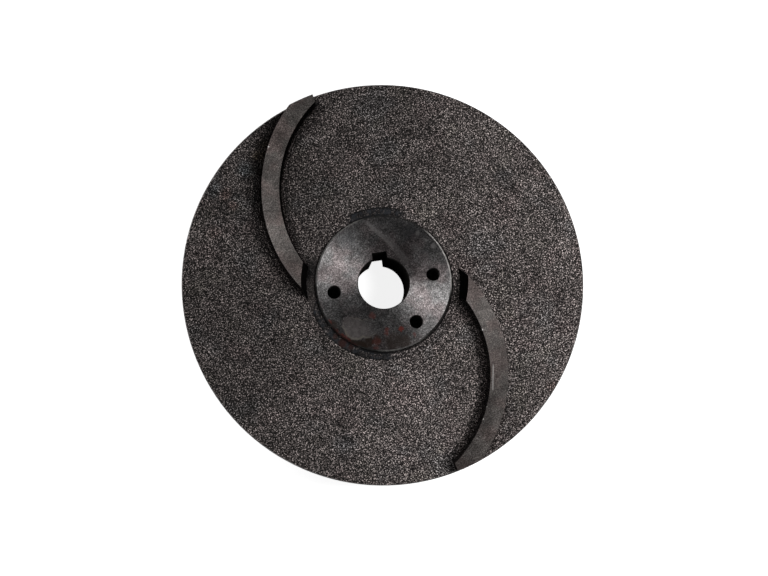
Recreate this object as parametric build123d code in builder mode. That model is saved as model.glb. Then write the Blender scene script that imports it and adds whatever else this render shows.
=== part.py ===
from build123d import *
from math import acos, cos, degrees, radians, sin, sqrt, tan
import os

# Semi-open pump impeller: one grey-iron casting with two long curved vanes on the front of a flat shroud,
# a bored and keyed hub that runs through it, and three tapped holes in the hub's front face.
# Frame: Z is the shaft axis and points to the vanes, Z = 0 is the hub's rear face, on which the part rests,
# and +X points to the tapped hole at 0 degrees. Angles are in degrees about Z, lengths in millimetres.

# Shroud, the flat disc that carries the vanes
shroud_diameter = 200.0
shroud_rim_thickness = 8.0
shroud_back_rise = 3.0  # the back thickens towards the hub by this much
shroud_front_edge = 0.4
shroud_back_edge = 1.5

# Hub, machined at both ends
hub_length = 45.0
hub_face_diameter = 67.8
hub_stand = 2.0  # front face above the shroud's front
hub_edge = 0.7
rear_hub_diameter = 62.0
rear_hub_draft = 3.0
rear_hub_edge = 1.0
rear_hub_fillet = 9.0

# Bore and key slot
bore_diameter = 25.4
bore_edge = 0.4
key_width = 7.4
key_slot_top = 15.6  # from the shaft axis
key_slot_angle = 88.0

# Tapped holes, drilled to the tapping size
hole_circle_diameter = 50.0
hole_angles = [0.0, -60.0, 180.0]
tap_drill_diameter = 6.8
tap_drill_depth = 20.0
drill_point_angle = 118.0

# Vanes: each is one arc, set out by its angles to the circles of the eye and of the tips
vane_count = 2
vane_inlet_angle = 44.3  # between the vane's middle line and the eye's circle
vane_outlet_angle = 23.75  # between the vane's middle line and the tips' circle
vane_tip_angle = 101.9  # where the middle line of the first vane reaches the tips' circle
vane_blunt_lead = 1.3  # the feather edge is cut off this many degrees before that
vane_height = 12.0  # above the shroud's front
vane_thickness = 8.7  # at the top
vane_draft = 3.0
vane_root_fillet = 3.0
vane_root_depth = 2.0  # the root's hold in the shroud
vane_tip_inset = 0.6  # tips are turned this much inside the shroud's rim
eye_diameter = 82.5  # inner ends of the vanes, at the top

# Facing cut around the hub, which also trims the vanes' inner ends to a cone
land_diameter = 76.4
land_depth = 0.4  # how far the cut runs into the casting's two swells
swells = [  # angle of the swell, its distance from the axis and its radius
    (80.0, 24.0, 20.5),
    (246.0, 17.0, 31.0),
]

# Worked out from the sizes above
shroud_radius = shroud_diameter / 2
hub_radius = hub_face_diameter / 2
rear_hub_radius = rear_hub_diameter / 2
bore_radius = bore_diameter / 2
land_radius = land_diameter / 2
eye_radius = eye_diameter / 2
tip_radius = shroud_radius - vane_tip_inset
shroud_front = hub_length - hub_stand
shroud_back = shroud_front - shroud_rim_thickness
hub_back = shroud_back - shroud_back_rise
rear_hub_growth = hub_back * tan(radians(rear_hub_draft))
vane_top = shroud_front + vane_height
drill_point_height = tap_drill_diameter / 2 / tan(radians(drill_point_angle / 2))

# The one arc that meets the eye's circle and the tips' circle at the two vane angles
outlet_cosine = cos(radians(vane_outlet_angle))
inlet_cosine = cos(radians(vane_inlet_angle))
vane_radius = (tip_radius**2 - eye_radius**2) / 2 / (tip_radius * outlet_cosine - eye_radius * inlet_cosine)
turning_distance = sqrt(tip_radius**2 + vane_radius**2 - 2 * tip_radius * vane_radius * outlet_cosine)


def vane_sweep(reach):
    """Angle at the turning centre from the shaft axis's far side to the middle line at that reach."""
    return degrees(acos((reach**2 - turning_distance**2 - vane_radius**2) / (2 * turning_distance * vane_radius)))


# The vane's half width at its foot, fillet included, and how far past its ends the blank runs to be trimmed
vane_spread = vane_height * tan(radians(vane_draft))
foot_half_width = vane_thickness / 2 + vane_spread + 2 * vane_root_fillet
tip_overrun = degrees(foot_half_width / tan(radians(vane_outlet_angle)) / vane_radius)
eye_overrun = degrees(foot_half_width / tan(radians(vane_inlet_angle)) / vane_radius)
vane_arc = vane_sweep(eye_radius) - vane_sweep(tip_radius) + eye_overrun + tip_overrun

# Turning centre, placed so that the first vane ends at its tip angle
centre_angle = vane_tip_angle - degrees(
    acos((tip_radius**2 + turning_distance**2 - vane_radius**2) / (2 * tip_radius * turning_distance))
)
turning_centre = Vector(turning_distance, 0, 0).rotate(Axis.Z, centre_angle)

with BuildPart() as vane:
    outward = Vector(1, 0, 0).rotate(Axis.Z, centre_angle + vane_sweep(tip_radius) - tip_overrun)
    section = Plane(
        origin=turning_centre + Vector(0, 0, shroud_front),
        x_dir=outward,
        z_dir=outward.cross(Vector(0, 0, 1)),
    )
    with BuildSketch(section):
        inner_top = vane_radius - vane_thickness / 2
        outer_top = vane_radius + vane_thickness / 2
        with BuildLine():
            Polyline(
                (vane_radius - foot_half_width, -vane_root_depth),
                (vane_radius - foot_half_width, 0),
                (inner_top - vane_spread, 0),
                (inner_top, vane_height),
                (outer_top, vane_height),
                (outer_top + vane_spread, 0),
                (vane_radius + foot_half_width, 0),
                (vane_radius + foot_half_width, -vane_root_depth),
                close=True,
            )
        make_face()
        for root in (inner_top - vane_spread, outer_top + vane_spread):
            fillet(vertices().sort_by_distance((root, 0))[:1], vane_root_fillet)
    revolve(axis=Axis(turning_centre, (0, 0, 1)), revolution_arc=vane_arc)

    # Tip turned to its radius, and its feather edge cut off
    with BuildSketch(Plane.XY.offset(shroud_front - vane_root_depth)):
        Circle(tip_radius)
    extrude(amount=vane_root_depth + vane_height, mode=Mode.INTERSECT)
    with BuildSketch(Plane.XY.offset(shroud_front - vane_root_depth)):
        with Locations(Rotation(0, 0, vane_tip_angle - vane_blunt_lead)):
            Rectangle(2 * shroud_radius, 2 * shroud_radius, align=(Align.CENTER, Align.MAX))
    extrude(amount=vane_root_depth + vane_height, mode=Mode.SUBTRACT)

    # Inner end turned to the cone of the facing cut
    with BuildSketch(Plane.XZ):
        with BuildLine():
            Polyline(
                (0, shroud_front),
                (land_radius, shroud_front),
                (eye_radius, vane_top),
                (0, vane_top),
                close=True,
            )
        make_face()
    revolve(axis=Axis.Z, mode=Mode.SUBTRACT)

with BuildPart() as impeller:
    # Shroud and hub in one turned outline
    with BuildSketch(Plane.XZ):
        with BuildLine():
            Polyline(
                (0, 0),
                (rear_hub_radius - rear_hub_edge, 0),
                (rear_hub_radius, rear_hub_edge),
                (rear_hub_radius + rear_hub_growth, hub_back),
                (shroud_radius - shroud_back_edge, shroud_back),
                (shroud_radius, shroud_back + shroud_back_edge),
                (shroud_radius, shroud_front - shroud_front_edge),
                (shroud_radius - shroud_front_edge, shroud_front),
                (hub_radius, shroud_front),
                (hub_radius, hub_length - hub_edge),
                (hub_radius - hub_edge, hub_length),
                (0, hub_length),
                close=True,
            )
        make_face()
        fillet(vertices().sort_by_distance((rear_hub_radius + rear_hub_growth, hub_back))[:1], rear_hub_fillet)
    revolve(axis=Axis.Z)

    with PolarLocations(0, vane_count):
        add(vane.part)

    # Smooth land where the facing cut ran into the casting's two swells
    for swell_angle, swell_distance, swell_radius in swells:
        with BuildSketch(Plane.XY.offset(shroud_front)):
            Circle(land_radius)
            with PolarLocations(swell_distance, 1, swell_angle):
                Circle(swell_radius, mode=Mode.INTERSECT)
            Circle(hub_radius, mode=Mode.SUBTRACT)
        extrude(amount=-land_depth, mode=Mode.SUBTRACT)

    # Bore with broken edges, and the key slot broached along it
    with BuildSketch(Plane.XZ):
        with BuildLine():
            Polyline(
                (0, 0),
                (bore_radius + bore_edge, 0),
                (bore_radius, bore_edge),
                (bore_radius, hub_length - bore_edge),
                (bore_radius + bore_edge, hub_length),
                (0, hub_length),
                close=True,
            )
        make_face()
    revolve(axis=Axis.Z, mode=Mode.SUBTRACT)
    with BuildSketch():
        with Locations(Rotation(0, 0, key_slot_angle)):
            Rectangle(key_slot_top, key_width, align=(Align.MIN, Align.CENTER))
    extrude(amount=hub_length, mode=Mode.SUBTRACT)

    # Tapped holes, blind, with the drill's point at the bottom
    for hole_angle in hole_angles:
        with PolarLocations(hole_circle_diameter / 2, 1, hole_angle):
            with Locations((0, 0, hub_length)):
                Hole(tap_drill_diameter / 2, tap_drill_depth)
            with Locations((0, 0, hub_length - tap_drill_depth)):
                Cone(
                    0,
                    tap_drill_diameter / 2,
                    drill_point_height,
                    align=(Align.CENTER, Align.CENTER, Align.MAX),
                    mode=Mode.SUBTRACT,
                )

impeller.part.label = "impeller"
os.makedirs("parts", exist_ok=True)
export_step(impeller.part, "parts/impeller.step")
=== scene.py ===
import bmesh
import bpy
from math import cos, hypot, pi, radians, sin
from mathutils import Euler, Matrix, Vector


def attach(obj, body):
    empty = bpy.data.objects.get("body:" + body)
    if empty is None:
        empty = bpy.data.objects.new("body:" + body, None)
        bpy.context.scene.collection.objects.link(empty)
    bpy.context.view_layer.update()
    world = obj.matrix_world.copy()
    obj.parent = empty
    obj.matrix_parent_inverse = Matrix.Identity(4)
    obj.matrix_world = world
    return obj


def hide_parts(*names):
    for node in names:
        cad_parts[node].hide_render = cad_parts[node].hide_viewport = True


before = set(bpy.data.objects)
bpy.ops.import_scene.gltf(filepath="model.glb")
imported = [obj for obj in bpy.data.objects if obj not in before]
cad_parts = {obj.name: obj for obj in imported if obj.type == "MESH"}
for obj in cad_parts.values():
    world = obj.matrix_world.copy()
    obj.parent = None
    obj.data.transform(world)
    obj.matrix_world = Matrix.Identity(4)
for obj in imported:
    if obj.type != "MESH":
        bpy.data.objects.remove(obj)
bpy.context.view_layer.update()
scene = bpy.context.scene

mm = 0.001

# the part's own sizes, in millimetres, as radii about the shaft axis and heights along it
sizes = {
    "rearEdge": 1.1, "landTop": 42.6, "shroudFront": 43.0, "hubTop": 45.0, "vaneTop": 55.0,
    "boreReach": 16.5, "hubRadius": 33.9, "landRadius": 38.2, "eyeRadius": 41.25, "tipRadius": 99.4,
    "rimRadius": 100.0,
}
# the arc along the middle of the first vane, and its half angle as seen from its own centre
vaneLine = {"centre": (18.33, 43.17), "radius": 66.55, "middle": 167.5, "reach": 43.0, "soft": 3.0}


class Wire:
    # a node's output that + - * / ** work on, each adding a Math node
    def __init__(self, bench, socket):
        self.bench, self.socket = bench, socket

    def other(self, name):
        return Wire(self.bench, self.socket.node.outputs[name])

    def __add__(self, value):
        return self.bench.math("ADD", self, value)

    def __sub__(self, value):
        return self.bench.math("SUBTRACT", self, value)

    def __rsub__(self, value):
        return self.bench.math("SUBTRACT", value, self)

    def __mul__(self, value):
        return self.bench.math("MULTIPLY", self, value)

    def __truediv__(self, value):
        return self.bench.math("DIVIDE", self, value)

    def __pow__(self, value):
        return self.bench.math("POWER", self, value)

    def __abs__(self):
        return self.bench.math("ABSOLUTE", self)

    __radd__ = __add__
    __rmul__ = __mul__


class Bench:
    # one material and its nodes, with the place on the part in millimetres
    def __init__(self, name, **plain):
        self.material = bpy.data.materials.new(name)
        self.material.use_nodes = True
        self.tree = self.material.node_tree
        self.shader = self.tree.nodes["Principled BSDF"]
        for socket, value in plain.items():
            self.shader.inputs[socket.replace("_", " ")].default_value = value
        onPart = self.add("ShaderNodeTexCoord", out="Object")
        self.place = self.add("ShaderNodeVectorMath", {"operation": "SCALE"}, {"Vector": onPart, "Scale": 1 / mm})
        self.x = self.add("ShaderNodeSeparateXYZ", {}, {"Vector": self.place}, out="X")
        self.y, self.z = self.x.other("Y"), self.x.other("Z")
        self.radius = self.far(self.x, self.y)
        self.turn = self.math("ARCTAN2", self.y, self.x)  # radians, 0 at +X

    def add(self, kind, settings=None, inputs=None, out=0):
        node = self.tree.nodes.new(kind)
        for name, value in (settings or {}).items():
            setattr(node, name, value)
        pairs = inputs.items() if isinstance(inputs, dict) else enumerate(inputs or [])
        for name, value in pairs:
            socket = node.inputs[name] if isinstance(name, int) else self.shown(node.inputs, name)
            self.feed(socket, value)
        return Wire(self, node.outputs[out] if isinstance(out, int) else self.shown(node.outputs, out))

    def shown(self, sockets, name):
        return next(s for s in sockets if s.name == name and s.enabled)

    def feed(self, socket, value):
        if isinstance(value, Wire):
            self.tree.links.new(value.socket, socket)
        elif socket.type == "RGBA" and len(value) == 3:
            socket.default_value = (*value, 1)
        else:
            socket.default_value = value

    def math(self, operation, *values):
        return self.add("ShaderNodeMath", {"operation": operation}, list(values))

    def far(self, across, along):
        return (across * across + along * along) ** 0.5

    def most(self, first, *rest):
        for value in rest:
            first = self.math("MAXIMUM", first, value)
        return first

    def rise(self, value, low, high, start=0.0, end=1.0):
        # start below low, end above high, eased between them
        return self.add("ShaderNodeMapRange", {"interpolation_type": "SMOOTHSTEP"},
                        {"Value": value, "From Min": low, "From Max": high, "To Min": start, "To Max": end})

    def fall(self, value, low, high):
        return self.rise(value, low, high, 1.0, 0.0)

    def band(self, value, start, full, fading, end):
        # 1 from full to fading, 0 before start and after end
        return self.rise(value, start, full) * self.fall(value, fading, end)

    def moved(self, shift):
        # the place moved off, so that each noise has a pattern of its own
        return self.add("ShaderNodeMapping", {},
                        {"Vector": self.place, "Location": (shift, shift * 0.7, shift * 0.3)})

    def noise(self, scale, detail=2.0, rough=0.5, place=None, shift=0.0):
        where = place or (self.moved(shift) if shift else self.place)
        return self.add("ShaderNodeTexNoise", {},
                        {"Vector": where, "Scale": scale, "Detail": detail, "Roughness": rough})

    def vary(self, spec, place=None):
        # a noise that takes the values of "to" as it passes from one end of "across" to the other
        wave = self.noise(spec["scale"], spec.get("detail", 2.0), spec.get("rough", 0.5), place, spec.get("shift", 0.0))
        return self.rise(wave, *spec["across"], *spec.get("to", (0.0, 1.0)))

    def wander(self, spec):
        # a noise about 0, up to half of "reach" either way
        return (self.noise(spec["scale"], spec["detail"], spec["rough"], shift=spec["shift"]) - 0.5) * spec["reach"]

    def cells(self, scale, shift):
        colour = self.add("ShaderNodeTexVoronoi", {}, {"Vector": self.moved(shift), "Scale": scale}, out="Color")
        return self.add("ShaderNodeSeparateColor", {}, {"Color": colour}, out="Green")

    def mix(self, mask, first, second):
        return self.add("ShaderNodeMix", {"data_type": "RGBA", "clamp_factor": True},
                        {"Factor": mask, "A": first, "B": second}, out="Result")

    def tint(self, colour, amount):
        # a colour made brighter or darker by a number that varies
        return self.add("ShaderNodeVectorMath", {"operation": "SCALE"}, {"Vector": colour, "Scale": amount})

    def spot(self, x, y, reach, soft=0.5, ragged=0.0):
        away = self.far(self.x - x, self.y - y) + ragged
        return self.fall(away, reach * (1 - soft), reach)

    def spots(self, marks, soft=0.7, ragged=0.0):
        # marks are (x, y, reach, strength)
        return self.most(0.0, *[self.spot(x, y, reach, soft, ragged) * strength for x, y, reach, strength in marks])

    def streak(self, start, end, half, soft=1.0, ragged=0.0, core=0.3):
        # a line between two points, at full strength in the core share of its half width
        length = hypot(end[0] - start[0], end[1] - start[1])
        ux, uy = (end[0] - start[0]) / length, (end[1] - start[1]) / length
        along = (self.x - start[0]) * ux + (self.y - start[1]) * uy
        across = abs((self.y - start[1]) * ux - (self.x - start[0]) * uy) + ragged
        return self.fall(across, half * core, half) * self.band(along, -soft, soft, length - soft, length + soft)

    def sector(self, middle, half, soft):
        # 1 where the direction about the shaft axis is within half degrees of middle
        facing = (self.x * cos(radians(middle)) + self.y * sin(radians(middle))) / self.radius
        return self.rise(facing, cos(radians(half + soft)), cos(radians(half)))

    def ring(self, low, high, soft):
        return self.band(self.radius, low - soft, low, high, high + soft)

    def bump(self, height, strength, depth, under=None):
        inputs = {"Height": height, "Strength": strength, "Distance": depth * mm}
        if under:
            inputs["Normal"] = under
        return self.add("ShaderNodeBump", {}, inputs)

    def finish(self, **wires):
        for socket, wire in wires.items():
            self.feed(self.shader.inputs[socket.replace("_", " ")], wire)
        return self.material


# the cast skin: its grain, whose brightest specks are painted glints, wide changes of light and tone among them a
# painted light falloff, marks on it as (x, y, reach, strength), and how dark it gets with painted shade on upright
# walls and in the hollows beside the vanes, and with oil and painted shade round the hub
castFinish = {
    "colour": (0.0412, 0.0356, 0.0340), "ends": (0.0290, 0.0251, 0.0242),
    # the grain's brightest specks, capped here, are painted glints
    "grain": 1.75, "contrast": 14.0, "fineGrain": 3.5, "fineContrast": 2.0, "fineShift": 7.3, "brightestGlint": 22.0,
    "uneven": [
        {"scale": 0.035, "detail": 3.0, "rough": 0.6, "across": (0.25, 0.75), "to": (0.80, 1.20)},
        {"scale": 0.12, "detail": 3.0, "rough": 0.6, "shift": 31.0, "across": (0.25, 0.75), "to": (0.82, 1.18)},
    ],
    "tones": [
        ((0.0443, 0.0355, 0.0343), {"scale": 0.07, "shift": 11.0, "across": (0.50, 0.70), "to": (0.0, 0.55)}),
        ((0.0366, 0.0352, 0.0352), {"scale": 0.05, "shift": 57.0, "across": (0.52, 0.70), "to": (0.0, 0.6)}),
        ((0.0406, 0.0367, 0.0325), {"scale": 0.06, "shift": 83.0, "across": (0.56, 0.72), "to": (0.0, 0.5)}),
    ],
    "markSoft": 0.9, "markEdge": {"scale": 0.3, "detail": 3.0, "rough": 0.6, "shift": 19.0, "reach": 6.0},
    "marks": {
        "damp": ((0.0270, 0.0300, 0.0315), [(-57.4, 68.0, 7.0, 0.8), (-73.9, 60.7, 6.0, 0.6),
                                            (-33.0, -75.0, 9.0, 0.5), (30.0, -90.0, 8.0, 0.5)]),
        "rust": ((0.0500, 0.0320, 0.0285), [(-69.4, 57.4, 5.0, 0.6), (-66.9, 51.8, 4.0, 0.5),
                                            (73.5, -66.0, 5.0, 0.4), (-78.0, 40.0, 6.0, 0.3)]),
        "oily": ((0.0430, 0.0335, 0.0220), [(-49.7, 74.3, 5.0, 0.7), (-46.0, 79.0, 4.0, 0.5)]),
    },
    # painted shade: how light upright walls stay at the front, and how much darker the hollows beside the vanes, a line
    # at the first vane's foot and its outer side become
    "wall": 0.3, "hollow": 0.45, "foot": 0.75, "outer": 0.65, "frontBand": (42.0, 42.5), "wallBand": (0.35, 1.0),
    "hollowBand": (-9.8, -8.0, 0.0, 1.0), "footBand": (-6.0, -5.3, -1.0, 0.0),
    "outerBand": (0.0, 1.0, 7.8, 9.8), "outerEnd": (30.0, 55.0),
    # oil and painted shade in the corner round the hub's foot, heavier on one side
    "oilAndShadeRing": (30.0, 34.6, 0.5), "oilAndShadeLeast": 0.4, "oilAndShadeMore": 0.5, "heavySide": (-40.0, 70.0, 20.0),
    # a painted light falloff across the part, darker away from the key lamp's side, with a wandering edge
    "paintedFalloff": {"x": 0.75, "y": -0.5, "low": -45.0, "high": 50.0, "least": 0.56},
    "paintedFalloffEdge": {"scale": 0.03, "detail": 2.0, "rough": 0.5, "shift": 70.0, "reach": 60.0},
    "facedRing": (30.0, 37.8, 1.2), "facedSide": (178.0, 24.0, 14.0), "facedShare": 0.75,
    "toolLines": {"scale": 2.2, "detail": 1.0, "across": (0.35, 0.65), "to": (0.54, 1.35)},
    "bump": {"fine": 0.3, "strength": 0.55, "depth": 0.30, "faced": 0.7},
    "broadBump": {"scale": 0.25, "detail": 3.0, "rough": 0.6, "shift": 5.0, "strength": 0.5, "depth": 1.2},
    "roughness": (0.62, 0.42), "wallRoughness": 0.4, "wallRoughBand": (0.5, 0.95),
}


def sandGrainAndGlints(b):
    # how bright the grain is, its brightest specks painted glints, with the two patterns it comes from
    sand = b.noise(castFinish["grain"], 1.0, 0.6)
    fine = b.cells(castFinish["fineGrain"], castFinish["fineShift"])
    power = (sand - 0.5) * castFinish["contrast"] + (fine - 0.5) * castFinish["fineContrast"]
    return b.math("MINIMUM", b.math("EXPONENT", power), castFinish["brightestGlint"]), sand, fine


def besideVane(b, side):
    # how far off the vane's middle line, and whether within its length; side is 1 or -1
    cx, cy = (side * v for v in vaneLine["centre"])
    away = b.far(b.x - cx, b.y - cy)
    middle = radians(vaneLine["middle"] + (0 if side > 0 else 180))
    facing = ((b.x - cx) * cos(middle) + (b.y - cy) * sin(middle)) / away
    reach = vaneLine["reach"]
    within = b.rise(facing, cos(radians(reach + vaneLine["soft"])), cos(radians(reach)))
    return away - vaneLine["radius"], within


def paintedShadeBesideVanes(b, front):
    # painted shade and shadow beside the vanes: how light the skin is there, 1 where they are far off
    light = 1.0
    for side in (1, -1):
        away, within = besideVane(b, side)
        hollow = b.band(away, *castFinish["hollowBand"])
        light = light * (1 - castFinish["hollow"] * front * within * hollow)
        if side > 0:
            foot = b.band(away, *castFinish["footBand"])
            outer = b.band(away, *castFinish["outerBand"]) * b.rise(b.y, *castFinish["outerEnd"])
            light = light * (1 - front * within * (castFinish["foot"] * foot + castFinish["outer"] * outer))
    return light


def castSkin(name, specular):
    b = Bench(name, Specular_IOR_Level=specular)
    grain, sand, fine = sandGrainAndGlints(b)
    slope = b.add("ShaderNodeNewGeometry", out="Normal")
    upright = abs(b.add("ShaderNodeSeparateXYZ", {}, {"Vector": slope}, out="Z"))
    front = b.rise(b.z, *castFinish["frontBand"])

    # light and dark: painted shade on walls and in the hollows beside the vanes, oil and painted shade at the foot of
    # the hub, uneven skin, a painted light falloff towards the far side
    level = (1 - front * b.rise(upright, *castFinish["wallBand"], 1 - castFinish["wall"], 0.0)) * paintedShadeBesideVanes(b, front)
    # oil with painted shade in the corner at the hub's foot
    oilAndShade = castFinish["oilAndShadeLeast"] + castFinish["oilAndShadeMore"] * b.sector(*castFinish["heavySide"])
    level = level * (1 - b.ring(*castFinish["oilAndShadeRing"]) * front * oilAndShade)
    for spec in castFinish["uneven"]:
        level = level * b.vary(spec)
    # painted light falloff: darker away from the key lamp's side
    paintedFalloff = castFinish["paintedFalloff"]
    place = b.x * paintedFalloff["x"] + b.y * paintedFalloff["y"] + b.wander(castFinish["paintedFalloffEdge"])
    level = level * b.rise(place, paintedFalloff["low"], paintedFalloff["high"], paintedFalloff["least"], 1.0)

    colour = castFinish["colour"]
    for tone, spec in castFinish["tones"]:
        colour = b.mix(b.vary(spec), colour, tone)
    ragged = b.wander(castFinish["markEdge"])
    for tone, marks in castFinish["marks"].values():
        colour = b.mix(b.spots(marks, castFinish["markSoft"], ragged) * front, colour, tone)

    # rings left by the facing tool, between the hub and the first vane
    faced = b.ring(*castFinish["facedRing"]) * b.sector(*castFinish["facedSide"]) * front
    lines = b.vary(castFinish["toolLines"], b.add("ShaderNodeCombineXYZ", {}, {"X": b.radius, "Y": b.turn * 2}))
    grain = grain + faced * castFinish["facedShare"] * (lines - grain)

    bump, broad = castFinish["bump"], castFinish["broadBump"]
    lumps = b.noise(broad["scale"], broad["detail"], broad["rough"], shift=broad["shift"])
    under = b.bump(lumps, broad["strength"], broad["depth"])
    height = sand + bump["fine"] * fine
    normal = b.bump(height, bump["strength"] * (1 - bump["faced"] * faced), bump["depth"], under)
    rough = b.rise(fine, 0.0, 1.0, *castFinish["roughness"])
    rough = rough + b.rise(upright, *castFinish["wallRoughBand"], castFinish["wallRoughness"], 0.0)
    return b.finish(Base_Color=b.tint(colour, grain * level), Roughness=rough, Normal=normal)


# the turned land round the hub: where the tool cut wider, dark and bluish, a painted dark reflection and sheen of the
# smooth cut on an oil film; cast skin between
landFinish = {
    "cuts": [(86.0, 17.0, 9.0), (238.0, 24.0, 10.0), (197.0, 9.0, 7.0)],
    "darkest": (0.004, 0.004, 0.004), "oily": (0.015, 0.0165, 0.019), "stain": (0.026, 0.0085, 0.0065),
    "rust": [(-25.3, -25.6, 3.2, 1.0), (-28.3, -21.9, 2.2, 0.8), (-22.0, -28.2, 2.0, 0.7)], "rustShare": 0.8,
    "rustEdge": {"scale": 0.5, "detail": 3.0, "rough": 0.7, "shift": 41.0, "reach": 4.0},
    "black": (-19.9, -33.2, 2.6, 0.6), "blackShare": 0.8,
    "blotch": {"scale": 0.35, "detail": 3.0, "rough": 0.6, "shift": 14.0, "across": (0.35, 0.65)},
    "paintedSheen": (0.35, 1.3), "cover": (0.7, 0.25), "roughness": (0.6, 0.75), "bump": (0.45, 0.30),
    # oil and painted shade round the hub's foot, and painted shade along the cut's outer step
    "footRing": (30.0, 34.7, 0.6), "footHeavy": 0.45, "rimRing": (37.7, 39.0, 0.4), "stepShadeDepth": 0.6,
}


def facedLand():
    b = Bench("facedLand", Specular_IOR_Level=0.08)
    grain, sand = sandGrainAndGlints(b)[:2]
    cut = b.most(*[b.sector(*where) for where in landFinish["cuts"]])
    blotch = b.vary(landFinish["blotch"])
    # where the tool cut: painted dark reflection on an oil film, with painted sheen brighter in blotches
    oily = b.mix(blotch, landFinish["darkest"], landFinish["oily"])
    oily = b.tint(oily, b.rise(blotch, 0.0, 1.0, *landFinish["paintedSheen"]))
    least, more = landFinish["cover"]
    cover = cut * (least + more * blotch)
    colour = b.mix(cover, b.tint(castFinish["ends"], grain), oily)
    # oil and painted shade at the hub's foot
    foot = castFinish["oilAndShadeLeast"] + landFinish["footHeavy"] * b.sector(*castFinish["heavySide"])
    foot = foot * b.ring(*landFinish["footRing"])
    # painted shade along the cut's outer step
    rim = landFinish["stepShadeDepth"] * cut * b.ring(*landFinish["rimRing"])
    colour = b.tint(colour, 1 - b.most(foot, rim))
    rust = b.spots(landFinish["rust"], 0.7, b.wander(landFinish["rustEdge"]))
    colour = b.mix(rust * landFinish["rustShare"], colour, landFinish["stain"])
    colour = b.tint(colour, 1 - landFinish["blackShare"] * b.spot(*landFinish["black"]))
    strength, depth = landFinish["bump"]
    normal = b.bump(sand, strength * (1 - cover), depth)
    return b.finish(Base_Color=colour, Roughness=b.rise(blotch, 0.0, 1.0, *landFinish["roughness"]), Normal=normal)


# marks on the hub's face, each spot as (x, y, reach, strength)
hubMarks = {
    "rust": [(-24.5, -24.8, 3.6, 1.0), (-26.4, -22.8, 3.0, 1.0), (-22.6, -24.6, 2.2, 0.7),
             (-28.2, -20.0, 2.4, 0.8), (-30.1, -14.1, 1.9, 0.6), (4.6, -23.6, 1.6, 1.0),
             (-2.5, -22.7, 2.0, 0.7), (-2.8, -25.0, 1.7, 0.6), (-8.6, -14.7, 2.3, 0.6),
             (10.5, -27.8, 1.5, 0.5), (-8.8, -28.0, 3.2, 0.45), (-9.5, -31.2, 2.4, 0.5)],
    "brown": [(-20.5, -26.2, 3.4, 0.9), (-16.5, -29.0, 3.8, 1.0), (-12.1, -27.2, 3.2, 0.9),
              (-0.1, -29.4, 5.8, 0.6), (-29.0, -16.5, 3.6, 0.7), (5.0, -30.5, 4.5, 0.6),
              (-8.4, -27.0, 3.0, 0.7), (-27.0, -22.5, 3.2, 0.7)],
    "puddle": [(-17.8, -19.9, 6.0, 1.0), (-12.3, -20.5, 5.2, 1.0), (-7.4, -21.5, 3.2, 0.75),
               (-20.3, -17.2, 4.2, 1.0)],
    "pale": [(21.2, 21.8, 1.5, 0.8), (24.6, 17.4, 1.2, 0.7), (27.7, 13.9, 2.0, 0.8), (19.0, 15.0, 3.0, 0.3)],
    "dark": [(17.4, 22.8, 6.5, 0.8), (5.0, 30.0, 5.0, 0.4), (-14.0, 24.5, 7.0, 0.75)],
    "wipes": [{"start": (-2.8, 31.5), "end": (8.5, 16.5), "half": 1.5, "soft": 1.5, "wander": 0.2, "level": 0.6},
              {"start": (5.3, 22.9), "end": (13.5, 7.6), "half": 2.6, "soft": 2.5, "wander": 0.25, "level": 0.35}],
    "edge": {"scale": 0.35, "detail": 4.0, "rough": 0.7, "shift": 41.0, "reach": 6.0},
    "fadingPuddle": (-19.5, -23.0, 15.0, 0.85), "brimSide": (-125.0, 14.0, 8.0), "brimWidth": 0.8,
    "dried": {"scale": 0.5, "detail": 3.0, "rough": 0.6, "shift": 17.0, "across": (0.3, 0.7), "to": (0.75, 1.2)},
    "broken": {"scale": 0.6, "detail": 3.0, "rough": 0.7, "shift": 61.0, "across": (0.25, 0.45)},
}
# how strongly each stain covers, how soft and how ragged its spots are, the roughness it adds, and its colour
hubShares = {"dark": 0.6, "pale": 0.8, "puddle": 0.8, "brim": 0.5, "rust": 0.85}
hubSoft = {"dark": 0.9, "pale": 0.6, "puddle": 0.14, "inside": 0.2, "brown": 0.5, "rust": 0.7}
hubRagged = {"dark": 1.0, "pale": 0.12, "puddle": 0.35, "brown": 0.8, "rust": 0.75}
hubRough = {"rust": 0.18, "pale": 0.08, "puddle": 0.12}
hubColours = {
    "rust": (0.170, 0.036, 0.026), "brown": (0.052, 0.037, 0.030), "puddle": (0.21, 0.19, 0.185),
    "brim": (0.33, 0.30, 0.25), "pale": (0.28, 0.265, 0.26), "dark": (0.05, 0.052, 0.056),
}


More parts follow.
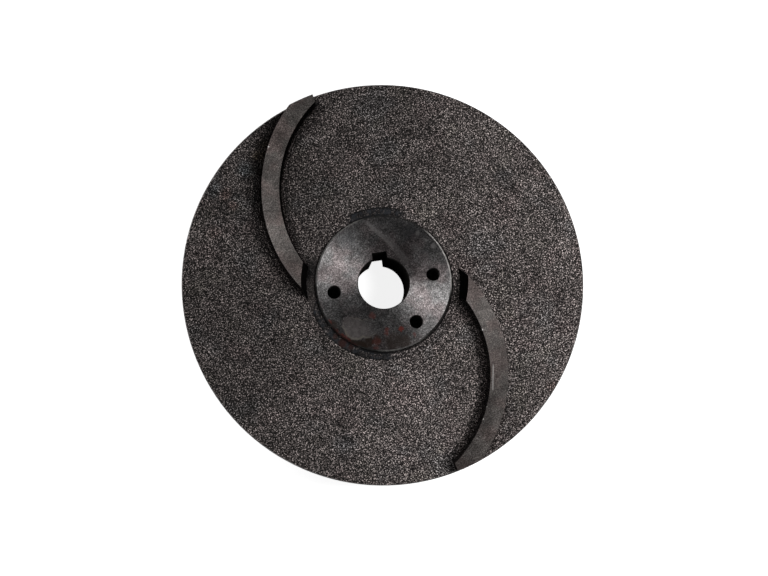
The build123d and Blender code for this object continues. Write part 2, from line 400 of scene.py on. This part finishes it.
def hubStains(b, shade, rough):
    # oil, wiped streaks, a dried puddle with its brim, brown film and rust, from the lowest coat to the highest
    ragged = b.wander(hubMarks["edge"])
    dark, pale, puddle, brown, rust = (
        b.spots(hubMarks[kind], hubSoft[kind], ragged * hubRagged[kind])
        for kind in ("dark", "pale", "puddle", "brown", "rust"))
    pale = hubShares["pale"] * pale
    for wipe in hubMarks["wipes"]:
        streak = b.streak(wipe["start"], wipe["end"], wipe["half"], wipe["soft"], ragged * wipe["wander"])
        pale = b.most(pale, wipe["level"] * streak)
    puddle = puddle * b.spot(*hubMarks["fadingPuddle"])
    inward = ragged * hubRagged["puddle"] + hubMarks["brimWidth"]
    inside = b.spots(hubMarks["puddle"], hubSoft["inside"], inward)
    brim = b.most((puddle - inside) * b.sector(*hubMarks["brimSide"]), 0.0)
    brown = brown * (1 - pale) * (1 - puddle)
    rust = rust * b.vary(hubMarks["broken"])
    dried = b.tint(hubColours["puddle"], b.vary(hubMarks["dried"]))
    shade = b.mix(dark * hubShares["dark"], shade, hubColours["dark"])
    shade = b.mix(brown, shade, hubColours["brown"])
    shade = b.mix(pale * hubShares["pale"], shade, hubColours["pale"])
    shade = b.mix(puddle * hubShares["puddle"], shade, dried)
    shade = b.mix(brim * hubShares["brim"], shade, hubColours["brim"])
    shade = b.mix(rust * hubShares["rust"], shade, hubColours["rust"])
    for kind, share in (("rust", rust), ("pale", pale), ("puddle", puddle)):
        rough = rough + hubRough[kind] * share
    return shade, rough


# marks on the vanes' tops: pits, a scribed line, a scratch, bright nicks, lighter towards the tips, and places of
# painted shade
vaneMarks = {
    "pitDepth": 0.6, "pits": {"scale": 1.0, "shift": 77.0, "across": (0.60, 0.70)},
    "pitted": {"scale": 0.10, "shift": 90.0, "across": (0.48, 0.60)},
    "lighterTowardsTips": (70.0, 92.0, 1.0, 1.22), "scribeDark": 0.6, "scratchShare": 0.4,
    "scribe": ((-53.6, 44.9), (-43.0, 43.0)), "scratch": ((45.0, -50.0), (42.5, -62.0)), "lineHalf": 0.35,
    "nicks": [(-44.3, 75.7, 0.5, 1), (43.0, -32.0, 0.5, 1), (37.9, -69.5, 0.5, 1), (35.2, -75.2, 0.5, 1)],
    "nickColour": (0.45, 0.435, 0.42), "scratchColour": (0.4, 0.39, 0.38),
    "shaded": [(0.34, (41.0, -52.0, 38.0, 0.6)), (0.3, (-39.0, 16.0, 15.0, 0.8))],
}


def vaneWear(b, shade, rough):
    pits = b.vary(vaneMarks["pits"]) * b.vary(vaneMarks["pitted"])
    shade = b.tint(shade, 1 - vaneMarks["pitDepth"] * pits)
    scribe = b.streak(*vaneMarks["scribe"], vaneMarks["lineHalf"], 0.1)
    shade = b.tint(shade, 1 - vaneMarks["scribeDark"] * scribe)
    shade = b.mix(b.spots(vaneMarks["nicks"], 0.5), shade, vaneMarks["nickColour"])
    light = b.rise(b.radius, *vaneMarks["lighterTowardsTips"])  # lighter towards the tips
    # painted shade on parts of the vane tops
    for depth, where in vaneMarks["shaded"]:
        light = light * (1 - depth * b.spot(*where))
    shade = b.tint(shade, light)
    scratch = b.streak(*vaneMarks["scratch"], vaneMarks["lineHalf"])
    return b.mix(vaneMarks["scratchShare"] * scratch, shade, vaneMarks["scratchColour"]), rough


# turned metal: a dried film of oil with its edges, smears, mottling, the tool's rings and fine specks
turnedFinish = {
    "film": {"scale": 0.13, "detail": 3.0, "rough": 0.55, "shift": 29.0, "across": (0.47, 0.53), "to": (0.84, 1.10)},
    "smear": {"scale": 0.10, "detail": 4.0, "rough": 0.6, "shift": 21.0, "across": (0.3, 0.7), "to": (0.78, 1.22)},
    "mottle": {"scale": 1.3, "detail": 4.0, "rough": 0.8, "shift": 3.0}, "mottleLight": (0.32, 0.68, 0.70, 1.30),
    "ring": {"scale": 3.4, "detail": 2.0, "rough": 0.7, "stretch": 1.5}, "ringLight": (0.3, 0.7, 0.85, 1.15),
    "speck": {"scale": 1.75, "detail": 2.0, "rough": 0.6, "shift": 15.0},
    "warm": {"scale": 0.09, "shift": 51.0, "across": (0.42, 0.62)}, "warmTone": (1.05, 0.95, 0.95),
    "grit": {"scale": 2.0, "rough": 0.6, "shift": 9.0, "strength": 0.30, "depth": 0.12}, "ringDepth": 0.05,
    "roughBand": (0.3, 0.7), "roughChange": 0.07,
}


def turnedFace(name, colour, wear=None, roughness=0.40, rings=0.5, metal=1.0, speckle=4.0):
    b = Bench(name, Metallic=metal, Specular_IOR_Level=0.1, Anisotropic=0.9, Anisotropic_Rotation=0.25)
    finish = turnedFinish
    tool, spread, grit = finish["ring"], finish["mottle"], finish["grit"]
    about = b.add("ShaderNodeCombineXYZ", {}, {"X": b.radius, "Y": b.turn * tool["stretch"]})
    ring = b.noise(tool["scale"], tool["detail"], tool["rough"], place=about)
    mottle = b.noise(spread["scale"], spread["detail"], spread["rough"], shift=spread["shift"])
    level = b.vary(finish["film"]) * b.vary(finish["smear"])
    level = level * b.rise(mottle, *finish["mottleLight"]) * b.rise(ring, *finish["ringLight"])
    level = level * b.math("EXPONENT", b.wander({**finish["speck"], "reach": speckle}))
    warm = tuple(part * tone for part, tone in zip(colour, finish["warmTone"]))
    shade = b.tint(b.mix(b.vary(finish["warm"]), colour, warm), level)
    change = finish["roughChange"]
    rough = b.rise(mottle, *finish["roughBand"], roughness - change, roughness + change)
    if wear:
        shade, rough = wear(b, shade, rough)
    under = b.bump(b.noise(grit["scale"], rough=grit["rough"], shift=grit["shift"]), grit["strength"], grit["depth"])
    return b.finish(Base_Color=shade, Roughness=rough, Normal=b.bump(ring, rings, finish["ringDepth"], under))


# the broken edge of the hub, dark with painted highlights on three sides: each place has its middle, half, softness and
# level
edgeFinish = {
    "dark": (0.025, 0.024, 0.023), "bright": (0.55, 0.53, 0.51), "stain": (0.035, 0.011, 0.009),
    "paintedHighlights": [((12.0, 20.0, 14.0), 1.0), ((135.0, 28.0, 12.0), 0.35), ((-82.0, 16.0, 10.0), 0.2)],
    "rusty": (-136.0, 10.0, 6.0), "rustShare": 0.85,
    "wear": {"scale": 0.7, "detail": 3.0, "rough": 0.7, "across": (0.3, 0.7), "to": (0.5, 1.3)},
}


def hubEdge():
    b = Bench("hubEdgePaintedHighlights", Metallic=0.3, Specular_IOR_Level=0.3, Roughness=0.5)
    # painted highlights on the edge
    paintedHighlights = b.most(*[b.sector(*where) * level for where, level in edgeFinish["paintedHighlights"]])
    shade = b.mix(paintedHighlights, edgeFinish["dark"], edgeFinish["bright"])
    shade = b.mix(b.sector(*edgeFinish["rusty"]) * edgeFinish["rustShare"], shade, edgeFinish["stain"])
    return b.finish(Base_Color=b.tint(shade, b.vary(edgeFinish["wear"])))


def darkWall(name, colour, roughness, specular):
    b = Bench(name, Specular_IOR_Level=specular)
    wear = {"scale": 0.6, "detail": 3.0, "rough": 0.6, "across": (0.3, 0.7)}
    shade = b.tint(colour, b.vary({**wear, "to": (0.6, 1.4)}))
    return b.finish(Base_Color=shade, Roughness=b.vary({**wear, "to": (roughness, roughness + 0.15)}))


finishes = {
    "cast": castSkin("castSkin", 0.05),
    "hubFace": turnedFace("turnedHubFace", (0.092, 0.089, 0.0885), hubStains, speckle=4.5),
    "vaneTop": turnedFace("turnedVaneTops", (0.066, 0.0595, 0.056), vaneWear, roughness=0.44, rings=0.3, metal=0.6),
    "land": facedLand(),
    "vaneSide": castSkin("castVaneSide", 0.0),
    # near black: painted dark reflection on the vanes' turned inner ends
    "eyeCone": darkWall("turnedEyeCone", (0.003, 0.0028, 0.0026), 0.85, 0.0),
    # near black: painted shade on the hub's short turned side
    "hubSide": darkWall("turnedHubSide", (0.009, 0.0085, 0.008), 0.85, 0.0),
    "hubEdge": hubEdge(),
    "turned": turnedFace("turnedEdges", (0.17, 0.165, 0.16), roughness=0.42, rings=0.4),
    "bore": darkWall("boredWall", (0.016, 0.015, 0.014), 0.85, 0.0),
    "thread": darkWall("tappedThread", (0.075, 0.07, 0.068), 0.45, 0.3),
}
order = list(finishes)
print("materials made:", ", ".join(order))

# tapped holes: radii, depth and pitch in millimetres, and one turn of thread as (rise in pitches, share of its height)
tapped = {
    "angles": (0, -60, 180), "circle": 25.0, "drill": 3.4, "thread": 4.0, "wall": 3.6, "depth": 20.0, "pitch": 1.25,
    "turn": ((0.0, 0.0), (0.12, 0.0), (0.48, 1.0), (0.64, 1.0)),
    "fade": 1.2, "topGap": 0.15, "bottomGap": 0.2, "join": 0.01,
}


def holeCentre(angle):
    return tapped["circle"] * cos(radians(angle)), tapped["circle"] * sin(radians(angle))


def fromAxis(point, centre):
    # distance of a point, in metres, from an axis parallel to the shaft's, in millimetres
    return hypot(point.x / mm - centre[0], point.y / mm - centre[1])


# how near a face's middle lies to the surface it belongs to, in millimetres, and how squarely it has to face
near = {"level": 0.05, "land": 0.45, "hubSide": 0.1, "hubEdge": 0.9, "cone": 0.4, "tips": 0.3, "rim": 0.5}
facing = {"level": 0.99, "radial": 0.9, "cone": 0.8, "rearEdge": 0.5, "upright": 0.97}


def regionOf(face):
    # which finish a face takes, by its height, its radius and the way it faces
    c = face.calc_center_median() / mm
    n = face.normal
    r = hypot(c.x, c.y)
    outward = (n.x * c.x + n.y * c.y) / max(r, 1e-6)
    level = n.z > facing["level"]
    front, gap = sizes["shroudFront"], near["level"]
    if level and abs(c.z - sizes["hubTop"]) < gap:
        return "hubFace"
    if level and abs(c.z - sizes["vaneTop"]) < gap:
        return "vaneTop"
    onLand = abs(c.z - sizes["landTop"]) < near["land"] and sizes["hubRadius"] - gap < r < sizes["landRadius"] + gap
    if onLand and (level and c.z < front - 2 * gap or outward < -facing["radial"]):
        return "land"
    if r < sizes["boreReach"] and c.z > 0 and abs(n.z) < facing["radial"]:
        return "bore"
    offHub = abs(r - sizes["hubRadius"])
    if 0.3 < n.z < 0.9 and c.z > sizes["hubTop"] - 0.8 and offHub < near["hubEdge"]:
        return "hubEdge"
    if sizes["landTop"] < c.z < sizes["hubTop"] - 0.6 and offHub < near["hubSide"] and outward > facing["radial"]:
        return "hubSide"
    for angle in tapped["angles"]:
        bottom, top = sizes["hubTop"] - tapped["depth"] - 5, sizes["hubTop"] - 0.01
        if fromAxis(c * mm, holeCentre(angle)) < tapped["wall"] and bottom < c.z < top:
            return "thread"
    spread = (sizes["eyeRadius"] - sizes["landRadius"]) / (sizes["vaneTop"] - front)
    cone = sizes["landRadius"] + (c.z - front) * spread
    if c.z > front + 0.02 and abs(r - cone) < near["cone"] and outward < -facing["cone"]:
        return "eyeCone"
    if c.z > front + gap and abs(r - sizes["tipRadius"]) < near["tips"] and outward > facing["radial"]:
        return "turned"
    if r > sizes["rimRadius"] - near["rim"] or (c.z < sizes["rearEdge"] and abs(n.z) > facing["rearEdge"]):
        return "turned"
    if abs(n.z) < facing["upright"] and c.z > front + 0.02:
        return "vaneSide"
    return "cast"


def connected(faces):
    # the faces given and all that hang together with them
    found, stack = set(faces), list(faces)
    while stack:
        for edge in stack.pop().edges:
            for face in edge.link_faces:
                if face not in found:
                    found.add(face)
                    stack.append(face)
    return found


def inOrder(parts):
    # a set's own order changes from run to run, and merging takes the first of each group
    return sorted(parts, key=lambda part: part.index)


def cutThread(shape, regions, angle):
    # real turns of thread: one profile of many turns, spun once round with a rise of one pitch
    cx, cy = centre = holeCentre(angle)
    drill, pitch = tapped["drill"], tapped["pitch"]
    bottom, top = sizes["hubTop"] - tapped["depth"], sizes["hubTop"]
    mouth = [v for v in shape.verts
             if abs(v.co.z / mm - top) < 0.01 and abs(fromAxis(v.co, centre) - drill) < 0.02]
    walls = [f for f in shape.faces if regions.get(f, ("",))[0] == "thread" and abs(f.normal.z) < 0.1
             and fromAxis(f.calc_center_median(), centre) < tapped["wall"]]
    steps = len(mouth)
    bmesh.ops.delete(shape, geom=walls, context="FACES")

    profile = []
    for count in range(int(tapped["depth"] / pitch) + 2):
        for rise, share in tapped["turn"]:
            x = cx + drill + share * (tapped["thread"] - drill)
            z = bottom + (count - 1 + rise) * pitch
            profile.append(shape.verts.new(Vector((x, cy, z)) * mm))
    edges = [shape.edges.new(pair) for pair in zip(profile, profile[1:])]
    bmesh.ops.spin(shape, geom=profile + edges, cent=Vector((cx, cy, 0)) * mm, axis=(0, 0, 1),
                   dvec=(0, 0, pitch * mm / steps), angle=2 * pi, steps=steps, use_merge=False)
    shape.verts.index_update()
    spun = inOrder({v for f in connected({f for v in profile for f in v.link_faces}) for v in f.verts})
    bmesh.ops.remove_doubles(shape, verts=spun, dist=tapped["join"] * mm)
    spun = [v for v in spun if v.is_valid]

    # the thread runs out to the drilled wall at both ends, and is cut off level there
    for v in spun:
        z = v.co.z / mm
        out = Vector((v.co.x / mm - cx, v.co.y / mm - cy))
        fromTop = min(1.0, max(0.0, (top - tapped["topGap"] - z) / tapped["fade"]))
        fromBottom = min(1.0, max(0.0, (z - bottom - tapped["bottomGap"]) / tapped["fade"]))
        out = out.normalized() * (drill + (out.length - drill) * fromTop * fromBottom)
        v.co = Vector((cx + out.x, cy + out.y, min(top, max(bottom, z)))) * mm
    shape.faces.index_update()
    faces = inOrder({f for v in spun for f in v.link_faces})
    joined = [v for v in shape.verts
              if abs(fromAxis(v.co, centre) - drill) < 0.7 and bottom - 0.01 < v.co.z / mm < top + 0.01]
    bmesh.ops.remove_doubles(shape, verts=joined, dist=tapped["join"] * mm)

    faces = [f for f in faces if f.is_valid]
    for f in faces:
        f.material_index = order.index("thread")
        f.smooth = False
    bmesh.ops.recalc_face_normals(shape, faces=faces)
    probe = next(f for f in faces if abs(f.normal.z) < 0.5)
    middle = probe.calc_center_median() / mm
    if (middle.x - cx) * probe.normal.x + (middle.y - cy) * probe.normal.y > 0:
        bmesh.ops.reverse_faces(shape, faces=faces)


# the casting: a copy of the CAD solid, merged, with each surface given its finish and threads in its holes
casting = bpy.data.objects.new("impellerCasting", bpy.data.meshes.new("impellerCasting"))
scene.collection.objects.link(casting)
shape = bmesh.new()
shape.from_mesh(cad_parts["impeller"].data)
bmesh.ops.remove_doubles(shape, verts=shape.verts, dist=0.002 * mm)
shape.normal_update()
regions = {}
for face in shape.faces:
    region = regionOf(face)
    face.material_index = order.index(region)
    face.smooth = True
    regions[face] = (region, abs(face.normal.z) > 0.9999)
for edge in shape.edges:
    edge.smooth = False
    if len(edge.link_faces) == 2:
        one, two = edge.link_faces
        edge.smooth = one.normal.angle(two.normal, 0.0) < radians(25) and regions[one] == regions[two]
for angle in tapped["angles"]:
    cutThread(shape, regions, angle)
print("threads cut in", len(tapped["angles"]), "holes")
bmesh.ops.dissolve_degenerate(shape, dist=0.001 * mm, edges=shape.edges)
shape.to_mesh(casting.data)
shape.free()
if "custom_normal" in casting.data.attributes:
    casting.data.attributes.remove(casting.data.attributes["custom_normal"])
for name in order:
    casting.data.materials.append(finishes[name])
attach(casting, "root")
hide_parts("impeller")
print("casting dressed:", len(casting.data.polygons), "faces")

# pale floor, white as the camera sees it but keeping a shadow; just under the part, so the two don't share a plane
floorSheet = {"half": 6.0, "drop": 0.1, "colour": (0.80, 0.80, 0.80), "glow": 0.86}
floorShape = bmesh.new()
bmesh.ops.create_grid(floorShape, x_segments=1, y_segments=1, size=floorSheet["half"])
bmesh.ops.translate(floorShape, verts=floorShape.verts, vec=(0, 0, -floorSheet["drop"] * mm))
floorMesh = bpy.data.meshes.new("paleFloor")
floorShape.to_mesh(floorMesh)
floorShape.free()
floor = bpy.data.objects.new("paleFloor", floorMesh)
scene.collection.objects.link(floor)
paper = Bench("paleFloor", Base_Color=(*floorSheet["colour"], 1), Roughness=0.9, Specular_IOR_Level=0.1)
seen = paper.add("ShaderNodeLightPath", out="Is Camera Ray")
shown = paper.most(seen, seen.other("Is Glossy Ray"), seen.other("Is Transmission Ray"))
glow = paper.add("ShaderNodeEmission", {}, {"Color": (1, 1, 1), "Strength": shown * floorSheet["glow"]})
both = paper.add("ShaderNodeAddShader", {}, [Wire(paper, paper.shader.outputs[0]), glow])
paper.feed(paper.tree.nodes["Material Output"].inputs["Surface"], both)
floor.data.materials.append(paper.material)

# lamps: turn is the direction from the part in degrees about the shaft, up the height above the horizon
lamps = [
    {"name": "keyLamp", "turn": 343.0, "up": 63.0, "away": 0.60, "size": 0.20, "power": 2.2},
    {"name": "leftLamp", "turn": 139.8, "up": 52.0, "away": 0.80, "size": 0.30, "power": 1.3},
]
hubCentre = Vector((0, 0, sizes["hubTop"])) * mm
for lamp in lamps:
    light = bpy.data.lights.new(lamp["name"], "AREA")
    light.shape, light.size, light.energy = "DISK", lamp["size"], lamp["power"]
    lampObject = bpy.data.objects.new(lamp["name"], light)
    turn, up = radians(lamp["turn"]), radians(lamp["up"])
    direction = Vector((cos(turn) * cos(up), sin(turn) * cos(up), sin(up)))
    lampObject.location = hubCentre + direction * lamp["away"]
    lampObject.rotation_euler = direction.to_track_quat("Z", "Y").to_euler()
    scene.collection.objects.link(lampObject)
world = bpy.data.worlds.new("studio")
world.use_nodes = True
world.node_tree.nodes["Background"].inputs["Color"].default_value = (0.17, 0.17, 0.172, 1)
scene.world = world
print("lamps and floor placed")

cameraSpec = {"away": 1.119375, "turns": (5.2813, -3.0568, -10.5069), "lens": 105.79, "sensor": 36.0,
              "shift": (0.0004, -0.0063)}
lensData = bpy.data.cameras.new("camera")
lensData.lens, lensData.sensor_width = cameraSpec["lens"], cameraSpec["sensor"]
lensData.shift_x, lensData.shift_y = cameraSpec["shift"]
camera = bpy.data.objects.new("camera", lensData)
camera.rotation_euler = Euler([radians(a) for a in cameraSpec["turns"]])
camera.location = hubCentre + camera.rotation_euler.to_matrix() @ Vector((0, 0, cameraSpec["away"]))
scene.collection.objects.link(camera)
scene.camera = camera
scene.view_settings.view_transform = "Standard"
